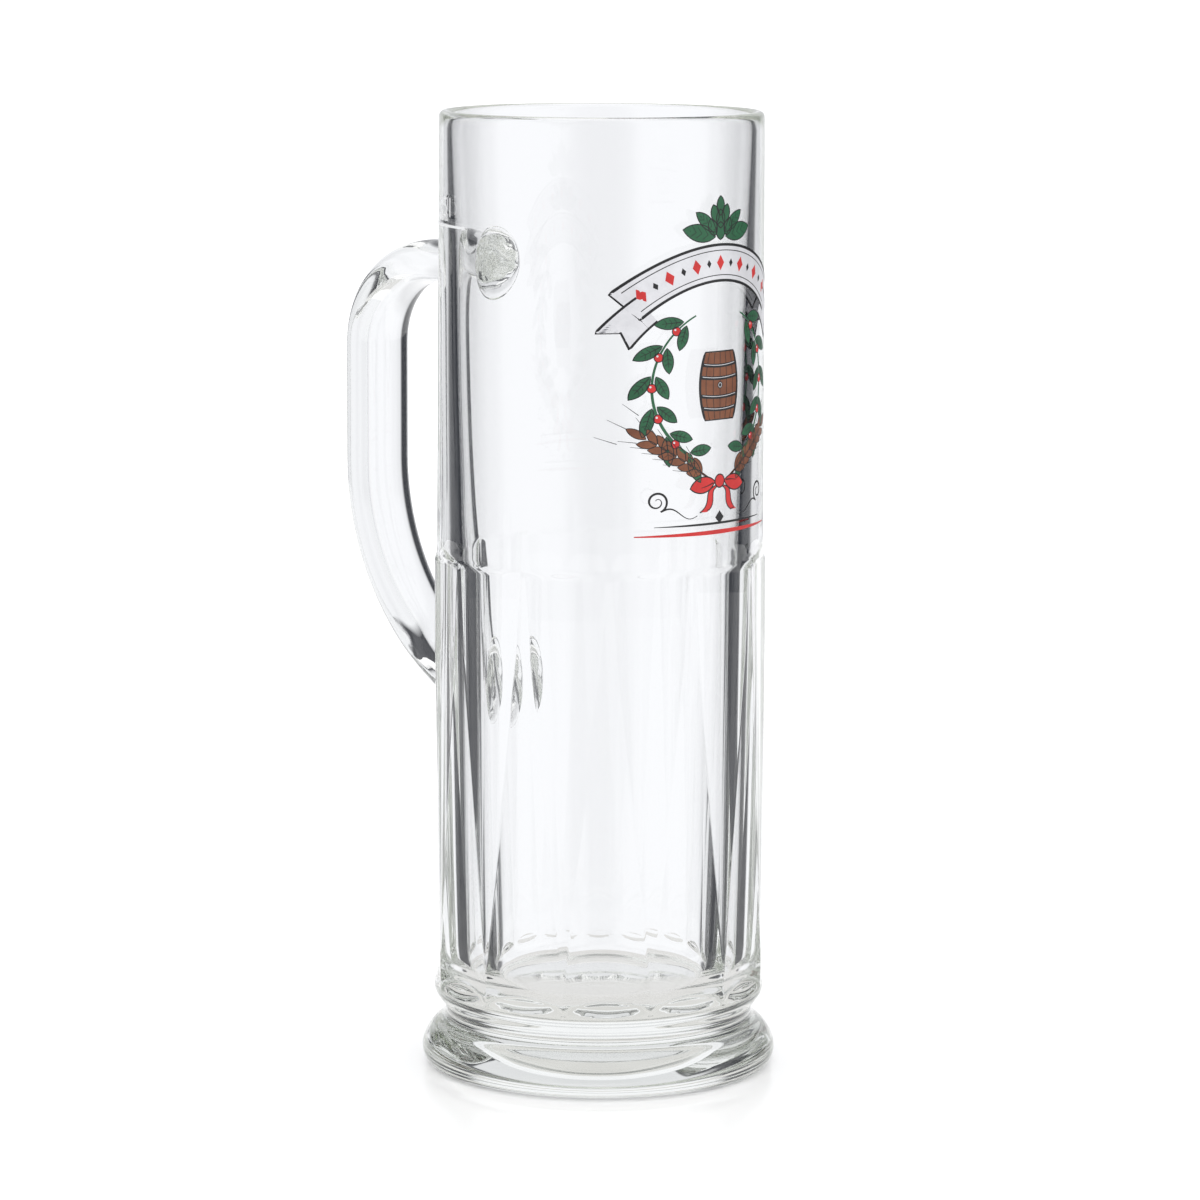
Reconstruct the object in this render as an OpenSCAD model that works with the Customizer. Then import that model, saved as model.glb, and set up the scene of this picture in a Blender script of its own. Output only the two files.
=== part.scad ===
// Tall beer mug of clear pressed glass: a plain round upper wall for the print,
// a lower wall of long flats that taper upwards and downwards by turns, a beaded neck and a heavy disc foot,
// with a bar handle fused on at two places and a design fired on in thin coats of enamel.
// Millimetres, +Z up. The origin is on the mug's axis in the plane it stands on.
// The design faces -Y and the handle stands out along +Y.

/* [Body] */
// Overall height, from the table to the rim
mug_h = 221; // [218:0.5:224]
// Outer radius at the rim
rim_r = 37.1; // [37:0.05:37.3]
// Outer radius of the plain wall just above the flats
waist_r = 37.6; // [37.5:0.05:37.7]
// Height of the ledge where the flats end and the plain wall begins
ledge_z = 118; // [116:0.5:118.5]
// Radius of the rounding on each edge of the rim
rim_round = 1.2; // [0.9:0.1:1.2]

/* [Panels] */
// Number of flats in each of the two sets round the lower wall
panel_count = 12; // [11:1:13]
// Radius at which the low flats meet in corners, just above the bead
skirt_r = 38.46; // [38.4:0.02:38.6]
// Radius at which the high flats would meet in corners, if they ran on above the ledge
crown_r = 38.22; // [38.16:0.02:38.3]
// Direction that the first low flat faces, in degrees from +X
panel_turn = 224.5; // [215:0.5:235]
// Height at which each low flat begins, above its run-out on the bead
panel_foot_z = 23; // [22.5:0.25:24]
// Height at which each low flat would taper away to a point, above the ledge
panel_fade_z = 126; // [124:0.5:130]

/* [Foot] */
// Largest radius of the disc foot
foot_r = 41.1; // [40.6:0.1:41.6]
// Radius of the neck above the foot
neck_r = 35.6; // [35.2:0.1:36]
// Radius of the bead above the neck
bead_r = 38.25; // [38:0.05:38.4]
// Radius of the shallow hollow under the foot
hollow_r = 31; // [26:0.5:34]
// Depth of the shallow hollow under the foot
hollow_d = 1.2; // [0.8:0.1:1.6]

/* [Cavity] */
// Inner radius at the rim
mouth_r = 34.3; // [34.2:0.05:34.35]
// Inner radius just above the level of the ledge
throat_r = 31.9; // [31.7:0.05:32.1]
// Inner radius half-way up the lower wall
well_r = 30.4; // [30.2:0.05:30.6]
// Height at which that radius is taken
well_z = 60; // [56:1:64]
// Inner radius just above the rounded corner at the floor
sump_r = 29.5; // [29.2:0.1:29.8]
// Height of the inside floor above the table
floor_z = 18; // [16:0.5:22]

/* [Handle] */
// Distance from the mug's axis to the middle of the upright bar
reach = 71.4; // [70:0.2:74]
// Thickness of the bar, towards the mug
bar_t = 10.6; // [10.3:0.1:11]
// Width of the bar, across the mug
bar_w = 16.2; // [15:0.1:16.8]
// Radius of the bar's rounded edges
bar_round = 5; // [3:0.1:5.1]
// Height of the middle of the upper arm
arm_z = 184; // [182:0.5:186]
// Bend radius at the top, to the middle of the bar
top_bend = 20.7; // [18:0.1:23]
// Bend radius of the lower sweep, to the middle of the bar
low_bend = 58; // [56:0.5:60]
// Height at which the lower sweep begins
sweep_z = 136; // [134:0.5:138]
// Radius of the flared joints against the wall
joint_r = 9.2; // [8.6:0.1:9.6]

/* [Decoration] */
// Thickness of each coat of enamel
coat = 0.08; // [0.06:0.01:0.12]
// Turn of the design away from -Y, in degrees
print_turn = -3; // [-8:0.5:8]
// Height of the middle of the wreath
wreath_z = 161; // [160:0.5:163]
// Height of the fill line
line_z = 195.5; // [194:0.5:197]
// Direction that the fill line faces, in degrees from +X
line_turn = 149; // [140:1:156]

/* [Hidden] */
$fn = 96;
// Height of each flat's long sides, and how far a flat lies inside the corners
panel_rise = panel_fade_z - panel_foot_z;
shrink = cos(180 / panel_count);
wall_top_z = mug_h - rim_round;
wall_foot_z = ledge_z + 2;

// Point on a cubic curve, and a run of such points without the first one
function bez(a, b, c, d, t) = pow(1 - t, 3) * a + 3 * t * pow(1 - t, 2) * b
                              + 3 * t * t * (1 - t) * c + pow(t, 3) * d;
function run(a, b, c, d, n = 6) = [for (i = [1:n]) bez(a, b, c, d, i / n)];

// Outer radius of the plain wall at height z
function wall_r(z) = waist_r + (rim_r - waist_r) * (z - wall_foot_z) / (wall_top_z - wall_foot_z);

// Half profile of the body, hollow underneath, with no cavity
outline = concat(
    [[0, hollow_d], [0.4 * hollow_r, 0.84 * hollow_d], [0.7 * hollow_r, 0.48 * hollow_d], [hollow_r, 0], [foot_r - 2.7, 0]],
    run([foot_r - 2.7, 0], [foot_r - 1.1, 0], [foot_r, 1.7], [foot_r, 3.5]),
    run([foot_r, 3.5], [foot_r, 5.4], [foot_r - 1.2, 7.7], [neck_r + 2.6, 9.2]),
    run([neck_r + 2.6, 9.2], [neck_r + 1.4, 10], [neck_r, 11], [neck_r, 12.4]),
    run([neck_r, 12.4], [neck_r, 13.4], [neck_r + 0.55, 14.4], [neck_r + 1.15, 15]),
    run([neck_r + 1.15, 15], [neck_r + 1.8, 15.6], [bead_r, 16.9], [bead_r, 18.8]),
    [[skirt_r + 0.3, 26], [crown_r + 0.3, ledge_z], [waist_r, wall_foot_z], [rim_r, wall_top_z]],
    run([rim_r, wall_top_z], [rim_r, mug_h - 0.45 * rim_round],
        [rim_r - 0.55 * rim_round, mug_h], [rim_r - rim_round, mug_h]),
    [[0, mug_h]]);

// Half profile of the cavity, opened out over the rounded rim
bore = concat(
    [[0, floor_z], [sump_r - 9, floor_z]],
    run([sump_r - 9, floor_z], [sump_r - 2.3, floor_z + 0.35], [sump_r - 0.15, floor_z + 4.6], [sump_r, floor_z + 10], 8),
    [[well_r, well_z], [throat_r, ledge_z + 4], [mouth_r, wall_top_z]],
    run([mouth_r, wall_top_z], [mouth_r, mug_h - 0.45 * rim_round],
        [mouth_r + 0.55 * rim_round, mug_h], [mouth_r + rim_round, mug_h]),
    [[mouth_r + rim_round, mug_h + 2], [0, mug_h + 2]]);

// Distances of the two kinds of flat from the axis at height z
function low_d(z) = skirt_r * shrink + (crown_r - skirt_r * shrink) * (z - panel_foot_z) / panel_rise;
function high_d(z) = skirt_r + (crown_r * shrink - skirt_r) * (z - panel_foot_z) / panel_rise;

// A cut along one side of the wall, with its outline drawn as distance from the axis against height
module side_cut(turn, points) {
    rotate([0, 0, turn]) rotate([90, 0, 0]) linear_extrude(height = 34, center = true) polygon(points);
}

// The body with its cavity filled in: also what the handle's ends are fitted to
module solid_body() {
    difference() {
        rotate_extrude() polygon(outline);
        for (i = [0:panel_count - 1]) {
            // Low flat: leans outwards as it rises, with a run-out on the bead and a short shoulder at the ledge
            side_cut(panel_turn + i * 360 / panel_count,
                [[low_d(panel_foot_z), panel_foot_z], [low_d(ledge_z), ledge_z], [waist_r + 0.05, wall_foot_z],
                 [44, wall_foot_z], [44, panel_foot_z - 19.7]]);
            // High flat between two low ones: leans inwards as it rises, with a shoulder that comes out over it
            side_cut(panel_turn + (i + 0.5) * 360 / panel_count,
                [[high_d(panel_foot_z - 1), panel_foot_z - 1], [high_d(ledge_z), ledge_z], [waist_r + 0.05, wall_foot_z],
                 [44, wall_foot_z], [44, panel_foot_z - 1]]);
        }
    }
}

// Cross-section of the bar: t along the first axis, w along the second
module bar_section(t, w) {
    union() {
        square([t - 2 * bar_round, w], center = true);
        square([t, w - 2 * bar_round], center = true);
        for (i = [-1, 1], j = [-1, 1])
            translate([i * (t / 2 - bar_round), j * (w / 2 - bar_round)]) circle(r = bar_round);
    }
}

// A bend in the plane of the handle about the point (y, z), from upright over to the mug
module bend(y, z, r, s) {
    translate([0, y, z]) rotate([0, 90, 0]) rotate([0, 0, 90])
        rotate_extrude(angle = s) translate([r, 0]) bar_section(bar_t, bar_w);
}

// A flared joint that stands on the wall at height z and runs out along the bar
module flare(z, r, wall_y, tip_r, tip_y) {
    translate([0, 0, z]) rotate([-90, 0, 0]) rotate_extrude()
        polygon(concat([[0, 33], [r, 33], [r, wall_y]],
                run([r, wall_y], [r - 2.2, wall_y + 0.8], [tip_r + 0.6, wall_y + 1.8], [tip_r, tip_y]),
                [[0, tip_y]]));
}

module glass_body() {
    color("lightcyan", 0.45) difference() {
        solid_body();
        rotate_extrude() polygon(bore);
    }
}

module handle() {
    sweep = acos(1 - (reach - 33) / low_bend);
    low_z = sweep_z - low_bend * sin(acos(1 - (reach - 38.2) / low_bend));
    color("powderblue", 0.45) difference() {
        union() {
            // Upper arm, straight out of the wall
            translate([0, 33, arm_z]) rotate([-90, 0, 0])
                linear_extrude(height = reach - top_bend - 33) bar_section(bar_w, bar_t);
            bend(reach - top_bend, arm_z - top_bend, top_bend, 90);
            // Upright grip
            translate([0, reach, sweep_z])
                linear_extrude(height = arm_z - top_bend - sweep_z) bar_section(bar_w, bar_t);
            // Long sweep back in to the flats
            translate([0, 0, 2 * sweep_z]) mirror([0, 0, 1]) bend(reach - low_bend, sweep_z, low_bend, sweep);
            flare(arm_z, joint_r, 37.6, bar_t / 2 - 0.4, 45);
            flare(low_z + 0.6, joint_r, 37.5, 3.6, 41.2);
        }
        solid_body();
    }
}

// A coat of enamel on the plain wall: the flat drawing given as children, wrapped
// straight back on to the wall, with the drawing's middle at height z
module coat_on(turn, z, reach_z) {
    rotate([0, 0, turn]) intersection() {
        rotate_extrude() polygon([
            [wall_r(z - reach_z), z - reach_z], [wall_r(z - reach_z) + coat, z - reach_z],
            [wall_r(z + reach_z) + coat, z + reach_z], [wall_r(z + reach_z), z + reach_z]]);
        translate([0, 0, z]) rotate([90, 0, 0]) linear_extrude(height = 60) children();
    }
}

// A pointed leaf or grain of length l and width w, standing on the origin
module leaf(l, w) {
    r = (l * l + w * w) / (4 * w);
    translate([0, l / 2]) intersection() {
        translate([r - w / 2, 0]) circle(r = r);
        translate([w / 2 - r, 0]) circle(r = r);
    }
}

// A curved band about the origin, from radius a to b and within the angle h of +Y
module band(a, b, h) {
    intersection() {
        difference() { circle(r = b); circle(r = a); }
        polygon([[0, 0], [2 * b * sin(-h), 2 * b * cos(h)], [0, 4 * b], [2 * b * sin(h), 2 * b * cos(h)]]);
    }
}

// Leaves along both sides of the wreath
wreath_r = 17.5;
module wreath_leaves() {
    for (s = [-1, 1], i = [0:5])
        rotate(s * (32 + i * 23)) translate([0, wreath_r]) {
            rotate(s * 62) translate([0, 1.3]) leaf(6.8, 2.4);
            rotate(s * 130) translate([0, 1.3]) leaf(5.8, 2.2);
        }
}

// Stems that the leaves and berries stand on
module stems() {
    for (s = [-1, 1]) rotate(s * 88) band(wreath_r - 0.3, wreath_r + 0.3, 64);
}
module berries() {
    for (s = [-1, 1], i = [0:4]) rotate(s * (43.5 + i * 23)) translate([0, wreath_r]) circle(r = 0.98);
}

// Hop cone between two pairs of leaves, on top of the scroll
module hop() {
    for (s = [-1, 1]) {
        translate([s * 1.6, 33.3]) rotate(-s * 78) leaf(9.2, 3.9);
        translate([s * 1.4, 34.4]) rotate(-s * 52) leaf(7.4, 2.8);
        translate([s * 1.25, 36.4]) rotate(-s * 14) leaf(4.2, 2.5);
        translate([s * 1.7, 33.6]) rotate(-s * 22) leaf(4, 2.6);
    }
    translate([0, 38]) leaf(4.4, 2.4);
    translate([0, 35.2]) leaf(4.2, 2.7);
    translate([0, 32.6]) leaf(4, 2.9);
}

// Silver scroll that arches over the wreath, and the notched tails folded behind its ends
scroll_in = 28.5;
scroll_out = 36.5;
scroll_half = 44;
module scroll(grow) { translate([0, -5]) band(scroll_in - grow, scroll_out + grow, scroll_half + grow * 1.8); }
module tails() {
    for (s = [-1, 1]) translate([0, -5]) polygon([
        for (p = concat([for (a = [39.5:3.6:57.5]) [25.9, a]], [[29.3, 53]],
                        [for (a = [57.5:-3.9:45.8]) [32.7, a]], [[27.6, 45.8], [27.6, 42.6], [27.6, 39.5]]))
            [s * p[0] * sin(p[1]), p[0] * cos(p[1])]]);
}

// Barrel seen from the side: bulged staves between two heads
module barrel(grow) {
    intersection() {
        square([20, 15 + 2 * grow], center = true);
        translate([14 - grow, 0]) circle(r = 20);
        translate([grow - 14, 0]) circle(r = 20);
    }
}
module hoops() {
    for (y = [-4.6, -1.9, 1.9, 4.6]) translate([0, y]) square([14, 0.8], center = true);
}

// Ears of barley that cross under the wreath
module ears() {
    for (s = [-1, 1]) translate([s * 2, -21.5]) rotate(s * -58) {
        for (i = [0:5]) translate([0, 4 + i * 2.6]) for (q = [-1, 1]) rotate(q * 28) leaf(4.2, 1.7);
        translate([0, 19.6]) leaf(4.6, 1.7);
    }
}

module print_silver() { color("gainsboro") coat_on(print_turn, wreath_z, 43) {
    scroll(0);
    tails();
} }

module print_black() {
    color("black") coat_on(print_turn, wreath_z, 43) {
        difference() { scroll(0.62); scroll(0); hop(); }
        difference() { barrel(0.6); barrel(0); }
        intersection() { hoops(); barrel(0); }
        // Rules under the ears
        translate([0, -31]) square([34, 0.5], center = true);
        translate([0, -29.6]) rotate(45) square(1.9, center = true);
    }
}

module print_green() { color("darkgreen") coat_on(print_turn, wreath_z, 43) {
    wreath_leaves();
    difference() { stems(); berries(); }
    difference() { hop(); scroll(0); }
} }

module print_brown() {
    color("saddlebrown") coat_on(print_turn, wreath_z, 43) {
        difference() { barrel(0); hoops(); }
        ears();
    }
}

module print_red() {
    color("crimson") coat_on(print_turn, wreath_z, 43) {
        // Berries between the leaves, and the bow that ties the ears
        berries();
        translate([0, -21.5]) circle(r = 1.5);
        for (s = [-1, 1]) {
            translate([s * 1.5, -21.5]) rotate(s * -100) leaf(7.2, 3.6);
            translate([s * 0.6, -22.2]) rotate(s * -142) leaf(7, 1.7);
        }
        // Fine rule under the bow
        translate([0, -33]) square([42, 0.8], center = true);
    }
}

module fill_line() {
    color("white") coat_on(line_turn + 90, line_z, 0.3) square([22, 0.6], center = true);
}

// The marked contents, as plain figures above the line
module capacity_mark() {
    color("white") coat_on(line_turn + 90, line_z + 4.2, 3) {
        // 0
        translate([-3.6, 0]) difference() {
            union() {
                for (s = [-1, 1]) translate([0, s * 0.9]) circle(r = 1.3);
                square([2.6, 1.8], center = true);
            }
            union() {
                for (s = [-1, 1]) translate([0, s * 0.9]) circle(r = 0.8);
                square([1.6, 1.8], center = true);
            }
        }
        // Decimal point
        translate([-1.5, -1.9]) circle(r = 0.35);
        // 5
        translate([0.5, 0]) {
            translate([0, 1.95]) square([2.4, 0.5], center = true);
            translate([-0.95, 1.1]) square([0.5, 2], center = true);
            translate([0, -0.7]) difference() {
                circle(r = 1.5);
                circle(r = 1);
                translate([-1.5, 0.3]) square([2.2, 1.5], center = true);
            }
        }
        // Litre stroke
        translate([3.9, 0]) square([0.5, 4.4], center = true);
    }
}

glass_body();
handle();
print_black();
print_green();
print_red();
print_brown();
print_silver();
fill_line();
capacity_mark();
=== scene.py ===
import math

import bpy
import numpy as np
from mathutils import Matrix, Vector


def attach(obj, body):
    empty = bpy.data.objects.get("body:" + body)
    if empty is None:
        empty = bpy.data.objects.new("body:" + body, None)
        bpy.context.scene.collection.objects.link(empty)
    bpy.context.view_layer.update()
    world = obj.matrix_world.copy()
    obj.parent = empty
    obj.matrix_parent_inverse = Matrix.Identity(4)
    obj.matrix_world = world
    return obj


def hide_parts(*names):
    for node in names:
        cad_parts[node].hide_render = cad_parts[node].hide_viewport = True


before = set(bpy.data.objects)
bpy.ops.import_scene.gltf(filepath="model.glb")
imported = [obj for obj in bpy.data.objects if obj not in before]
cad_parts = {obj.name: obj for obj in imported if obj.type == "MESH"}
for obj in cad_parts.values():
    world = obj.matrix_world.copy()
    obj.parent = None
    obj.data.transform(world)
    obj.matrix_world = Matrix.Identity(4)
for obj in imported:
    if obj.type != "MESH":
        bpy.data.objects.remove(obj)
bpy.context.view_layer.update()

# Tall beer mug of clear pressed glass with a fused bar handle and a fired enamel
# design. All shapes below are worked out in millimetres and made in metres.

# ---------------------------------------------------------------- dimensions
N_PANEL = 12
PANEL_TURN = 224.5          # direction of the first low flat's middle
MUG_H = 221.0
RIM_R, MOUTH_R = 37.1, 34.45
FOOT_R, NECK_R, BEAD_R = 41.1, 35.6, 38.3
HOLLOW_R, HOLLOW_D = 31.0, 1.2
FLOOR_Z = 18.0
REACH, BAR_T, BAR_W = 71.4, 10.0, 17.0
ARM_Z, TOP_BEND, LOW_BEND, SWEEP_Z = 184.0, 20.7, 58.0, 136.0
PRINT_TURN, WREATH_Z = -93.0, 161.0      # the design faces -Y, turned 3 degrees
LINE_TURN, LINE_Z = 149.0, 195.5

# inner radius of the cavity against height
BORE = [(25.0, 29.2), (32.0, 29.5), (45.0, 29.98), (60.0, 30.35), (75.0, 30.7), (90.0, 31.08), (105.0, 31.42),
        (114.0, 31.66), (122.0, 31.95), (127.0, 32.1), (134.0, 32.27), (148.0, 32.65), (160.0, 32.9), (175.0, 33.1),
        (190.0, 33.45), (203.0, 33.95), (214.0, 34.3), (219.6, 34.45)]
# lower wall: twelve flats that taper upwards from the bead, and between them twelve that taper downwards from the ledge
TOP_Z, TOP_R = 118.0, 38.36      # corners of the wall where the low flats would run out
LOW_Z, LOW_R = 23.0, 38.46       # corners of the wall where the high flats run out
CROWN_R = 38.12                  # the upper corners are rounded off to this
LEDGE = (118.0, 120.0)           # short slope from the flats to the plain wall


def smax(a, b, k):
    return np.maximum(a, b) + np.maximum(k - np.abs(a - b), 0) ** 2 / (4 * k)


def smin(a, b, k):
    return -smax(-a, -b, k)


def sstep(x, a, b):
    t = np.clip((x - a) / (b - a), 0, 1)
    return t * t * (3 - 2 * t)


def bez(a, b, c, d, n):
    a, b, c, d = (np.array(p, float) for p in (a, b, c, d))
    return [tuple((1 - t) ** 3 * a + 3 * t * (1 - t) ** 2 * b + 3 * t * t * (1 - t) * c + t ** 3 * d)
            for t in np.arange(1, n + 1) / n]


def spline(knots, x):
    """Smooth curve through the knots (natural cubic)."""
    kx = np.array([k[0] for k in knots], float)
    ky = np.array([k[1] for k in knots], float)
    n = len(kx)
    h = np.diff(kx)
    m = np.zeros((n, n))
    v = np.zeros(n)
    m[0, 0] = m[-1, -1] = 1
    for i in range(1, n - 1):
        m[i, i - 1], m[i, i], m[i, i + 1] = h[i - 1], 2 * (h[i - 1] + h[i]), h[i]
        v[i] = 6 * ((ky[i + 1] - ky[i]) / h[i] - (ky[i] - ky[i - 1]) / h[i - 1])
    s = np.linalg.solve(m, v)
    x = np.asarray(x, float)
    i = np.clip(np.searchsorted(kx, x) - 1, 0, n - 2)
    a, b, hh = kx[i + 1] - x, x - kx[i], h[i]
    return ((s[i] * a ** 3 + s[i + 1] * b ** 3) / (6 * hh) + (ky[i] / hh - s[i] * hh / 6) * a
            + (ky[i + 1] / hh - s[i + 1] * hh / 6) * b)


# ---------------------------------------------------------------- outer wall
def upper_r(z):
    """Plain round wall above the panels."""
    return np.interp(z, [110.0, 118.5, 175.0, 219.4], [37.66, 37.6, 37.32, RIM_R])


BEAD = [(12.4, NECK_R), (13.4, NECK_R + 0.3), (14.6, NECK_R + 0.95), (16.0, BEAD_R - 0.75), (17.3, BEAD_R - 0.13),
        (18.6, BEAD_R), (19.7, BEAD_R - 0.18), (20.9, BEAD_R - 0.62), (22.3, BEAD_R - 1.25),
        (23.6, BEAD_R - 1.9), (25.5, BEAD_R - 3.0)]


def flat_distances(z):
    """Distance from the axis of the low flats and of the high ones at the height z."""
    u = (TOP_Z - z) / (TOP_Z - LOW_Z)
    c = math.cos(math.pi / N_PANEL)
    return min(TOP_R + (LOW_R * c - TOP_R) * u, CROWN_R), TOP_R * c + (LOW_R - TOP_R * c) * u


def outer_r(th, z):
    """Radius of the outer surface at the angles th (radians) and the height z, from the neck to the rim."""
    if z >= LEDGE[1]:
        return np.full_like(th, upper_r(z))
    bead = float(spline(BEAD, min(z, 25.5)))
    if z < 18.6:
        return np.full_like(th, bead)
    step = 2 * math.pi / N_PANEL
    phi = (th - math.radians(PANEL_TURN) + step / 2) % step - step / 2
    low, high = flat_distances(z)
    wall = smin(low / np.cos(phi), high / np.cos(step / 2 - np.abs(phi)), 0.08)
    if z < 27.0:
        cap = float(np.interp(z, [18.6, 26.0], [BEAD_R - 0.02, LOW_R + 0.05]))
        wall = smin(wall, np.full_like(th, cap), 0.08)
    if z > LEDGE[0]:
        k = float(sstep(z, *LEDGE))
        return wall * (1 - k) + float(upper_r(z)) * k
    r = smax(np.full_like(th, bead), wall, 0.25)
    if z < 21.5:
        # shallow lens pressed into the bead under each low flat
        x = r * np.sin(phi)
        r = r - 0.24 * np.maximum(0.0, 1 - (x / 6.9) ** 2 - ((z - 19.75 - 0.4 * (x / 6.9) ** 2) / 1.32) ** 2)
    return r


def cavity_r(z):
    return float(spline(BORE, z))


def revolve_columns(z):
    """Angles of the columns at the height z: they follow the edges between the flats; evenly spread where the wall is round."""
    step = 360.0 / N_PANEL
    if 18.3 < z < LEDGE[1] + 0.2:
        low, high = flat_distances(z)
        a = math.pi / N_PANEL
        c = math.degrees(math.atan((high / low - math.cos(a)) / math.sin(a)))
        c = min(max(c, 0.6), 14.2)
        e = min(0.6, 0.6 * c)
        half = list(np.array([0.25, 0.5, 0.75]) * (c - e)) + [c - e, c - 0.5 * e, c - 0.2 * e, c, c + 0.2 * e, c + 0.5 * e, c + e]
        half = np.array(half + list(np.linspace(c + e, 15.0, 9)[1:-1]))
    else:
        half = np.arange(1, 18) * 15.0 / 18
    out = []
    for i in range(N_PANEL):
        t0 = PANEL_TURN + i * step
        out += list(t0 - half[::-1]) + [t0] + list(t0 + half) + [t0 + step / 2]
    return np.radians(np.array(out))


def grid_normals(p, closed_rows=False):
    """Vertex normals of a grid [row, column, xyz] that closes on itself along its columns."""
    def slope(q, axis, closed):
        a = np.roll(q, 1, axis) if closed else np.concatenate([q[:1], q[:-1]], 0) if axis == 0 else None
        b = np.roll(q, -1, axis) if closed else np.concatenate([q[1:], q[-1:]], 0) if axis == 0 else None
        u, v = q - a, b - q
        hu = np.maximum(np.linalg.norm(u, axis=2, keepdims=True), 1e-9)
        hv = np.maximum(np.linalg.norm(v, axis=2, keepdims=True), 1e-9)
        return (u / hu * hv + v / hv * hu) / (hu + hv)
    n = np.cross(slope(p, 1, True), slope(p, 0, closed_rows))
    return n / np.maximum(np.linalg.norm(n, axis=2, keepdims=True), 1e-12)


def mesh_object(name, verts, faces, material, normals=None, flat=False):
    me = bpy.data.meshes.new(name)
    me.from_pydata((np.asarray(verts, float) * 0.001).tolist(), [], faces)
    me.polygons.foreach_set("use_smooth", [not flat] * len(me.polygons))
    if normals is not None:
        me.normals_split_custom_set_from_vertices([tuple(n) for n in normals])
    me.materials.append(material)
    ob = bpy.data.objects.new(name, me)
    bpy.context.scene.collection.objects.link(ob)
    return ob


def grid_faces(rows, cols, start=0, flip=False):
    f = []
    for i in range(rows - 1):
        a, b = start + i * cols, start + (i + 1) * cols
        for j in range(cols):
            k = (j + 1) % cols
            q = (a + j, a + k, b + k, b + j)
            f.append(q[::-1] if flip else q)
    return f


def glass_body(material):
    rows = []          # each row: angles, radii and heights of its points
    n = len(revolve_columns(0))

    def ring(r, z, like=0.0):
        t = revolve_columns(like)
        rows.append((t, np.full(n, float(r)), np.full(n, float(z))))

    # underside: shallow hollow, then the ring that it stands on
    for r in (4.0, 8.0, 12.0, 16.0, 20.0, 23.0, 26.0, 28.0, 29.5, 30.4, HOLLOW_R):
        ring(r, HOLLOW_D * (1 - (r / HOLLOW_R) ** 2) ** 1.2)
    ring(35.0, 0)
    f = FOOT_R
    for r, z in [(f - 2.7, 0.0)] + bez((f - 2.7, 0), (f - 1.1, 0), (f, 1.7), (f, 3.5), 8) \
            + bez((f, 3.5), (f, 5.4), (f - 1.2, 7.7), (NECK_R + 2.6, 9.2), 8) \
            + bez((NECK_R + 2.6, 9.2), (NECK_R + 1.4, 10), (NECK_R, 11), (NECK_R, 12.4), 7):
        ring(r, z)
    heights = list(np.arange(12.8, 16.0, 0.5)) + list(np.arange(16.2, 18.3, 0.4)) + list(np.arange(18.4, 21.2, 0.17)) \
        + list(np.arange(21.4, 27.2, 0.5)) + list(np.arange(28.0, 117.0, 2.0)) + list(np.arange(117.6, 120.2, 0.16)) \
        + [121.0] + list(np.arange(125.0, 219.0, 8.5)) + [MUG_H - 1.6]
    for z in heights:
        t = revolve_columns(z)
        rows.append((t, outer_r(t, z), np.full(n, z)))
    # rim: a rounded lip
    k = 0.5523
    w = (RIM_R - MOUTH_R) / 2
    m = (RIM_R + MOUTH_R) / 2
    h = 1.4
    for r, z in bez((RIM_R, MUG_H - h), (RIM_R, MUG_H - h + k * h), (m + k * w, MUG_H), (m, MUG_H), 7) \
            + bez((m, MUG_H), (m - k * w, MUG_H), (MOUTH_R, MUG_H - h + k * h), (MOUTH_R, MUG_H - h), 7):
        ring(r, z)
    # cavity wall
    for z in list(np.arange(217.0, 44.0, -5.0)) + list(np.arange(42.0, FLOOR_Z + 10.5, -2.2)):
        ring(cavity_r(z), z)
    r0 = cavity_r(FLOOR_Z + 10)
    for r, z in bez((r0, FLOOR_Z + 10), (r0 - 0.15, FLOOR_Z + 4.6), (27.2, FLOOR_Z + 0.35), (20.5, FLOOR_Z), 11):
        ring(r, z)
    for r in (14.0, 6.0):
        ring(r, FLOOR_Z)
    p = np.array([np.stack([r * np.cos(t), r * np.sin(t), z], 1) for t, r, z in rows])
    nor = grid_normals(p)
    verts = p.reshape(-1, 3).tolist()
    normals = nor.reshape(-1, 3).tolist()
    faces = grid_faces(len(rows), n)
    a, b = len(verts), len(verts) + 1
    verts += [[0, 0, HOLLOW_D], [0, 0, FLOOR_Z]]
    normals += [[0, 0, -1], [0, 0, 1]]
    last = (len(rows) - 1) * n
    for j in range(n):
        q = (j + 1) % n
        faces.append((a, q, j))
        faces.append((b, last + j, last + q))
    return mesh_object("mug_glass_body", verts, faces, material, normals)


# ---------------------------------------------------------------- handle
def bar_outline(t, w, count=56, power=2.4):
    """Closed outline of the bar: half-sizes t (in the plane of the handle) and w (across it), soft-cornered."""
    a = np.arange(count) / count * 2 * math.pi
    c, s = np.cos(a), np.sin(a)
    k = (np.abs(c) ** power + np.abs(s) ** power) ** (-1.0 / power)
    return np.stack([t / 2 * c * k, w / 2 * s * k], 1)


def wall_y(x, z):
    """How far out along +Y the outer surface is, at the offsets x and heights z."""
    out = np.empty(len(x))
    for i in range(len(x)):
        r = 37.4
        for _ in range(3):
            y = math.sqrt(max(r * r - x[i] * x[i], 0))
            r = float(outer_r(np.array([math.atan2(y, x[i])]), z[i])[0])
        out[i] = math.sqrt(max(r * r - x[i] * x[i], 0))
    return out


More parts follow.
